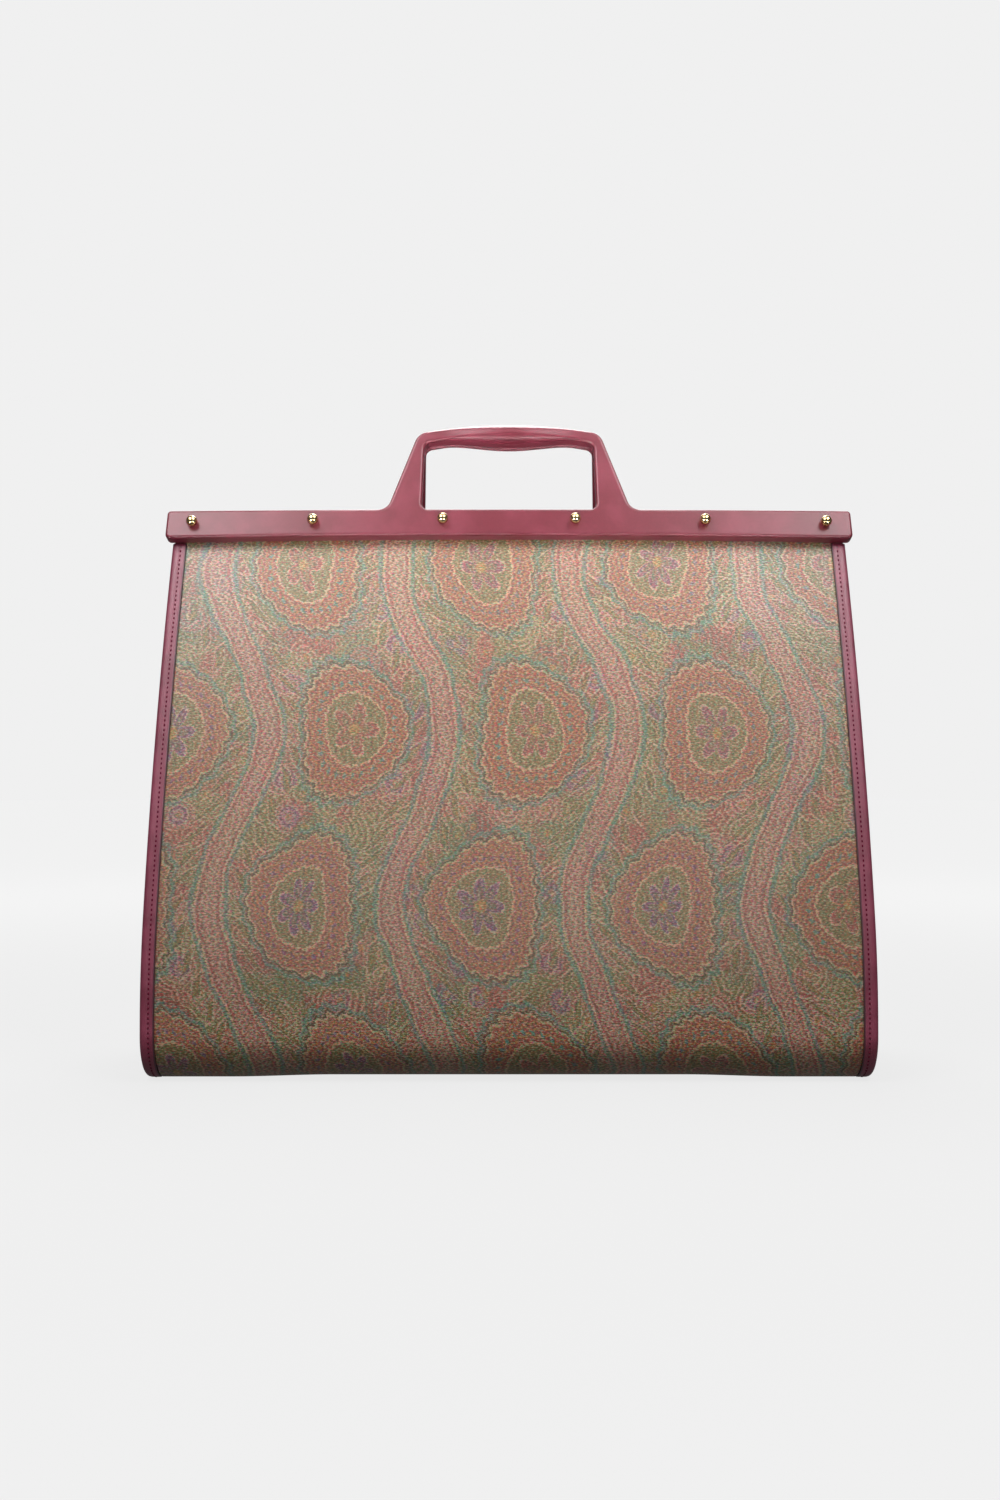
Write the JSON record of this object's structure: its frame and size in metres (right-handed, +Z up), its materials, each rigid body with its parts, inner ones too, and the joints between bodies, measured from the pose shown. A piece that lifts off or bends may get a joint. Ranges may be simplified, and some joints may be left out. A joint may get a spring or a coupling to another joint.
{
  "type": "tote bag",
  "caption": "Structured tote bag with moulded bar-and-handle frames, coated canvas body, folding side gussets, leather-bound side seams and brass ball studs.",
  "frame": {"origin": "on the ground, under the middle of the base", "axes": "+X across the bag to its right, -Y out of the front, +Z up"},
  "size_m": [0.392, 0.1186, 0.3596],
  "materials": {
    "canvas": "coated canvas with a fine pebbled grain, printed in muted colours",
    "leather": "smooth burgundy leather, stitched in its own colour",
    "resin": "burgundy moulded resin, satin gloss",
    "brass": "polished",
    "board": "stiff fibre board"
  },
  "bodies": {
    "root": {"body_panel": "canvas", "left_gusset": "canvas", "right_gusset": "canvas", "left_binding": "leather", "right_binding": "leather", "base_board": "board", "front_handle_frame": "resin", "back_handle_frame": "resin", "front_facing_strip": "leather", "back_facing_strip": "leather", "front_studs": "brass", "back_studs": "brass"}
  },
  "joints": []
}
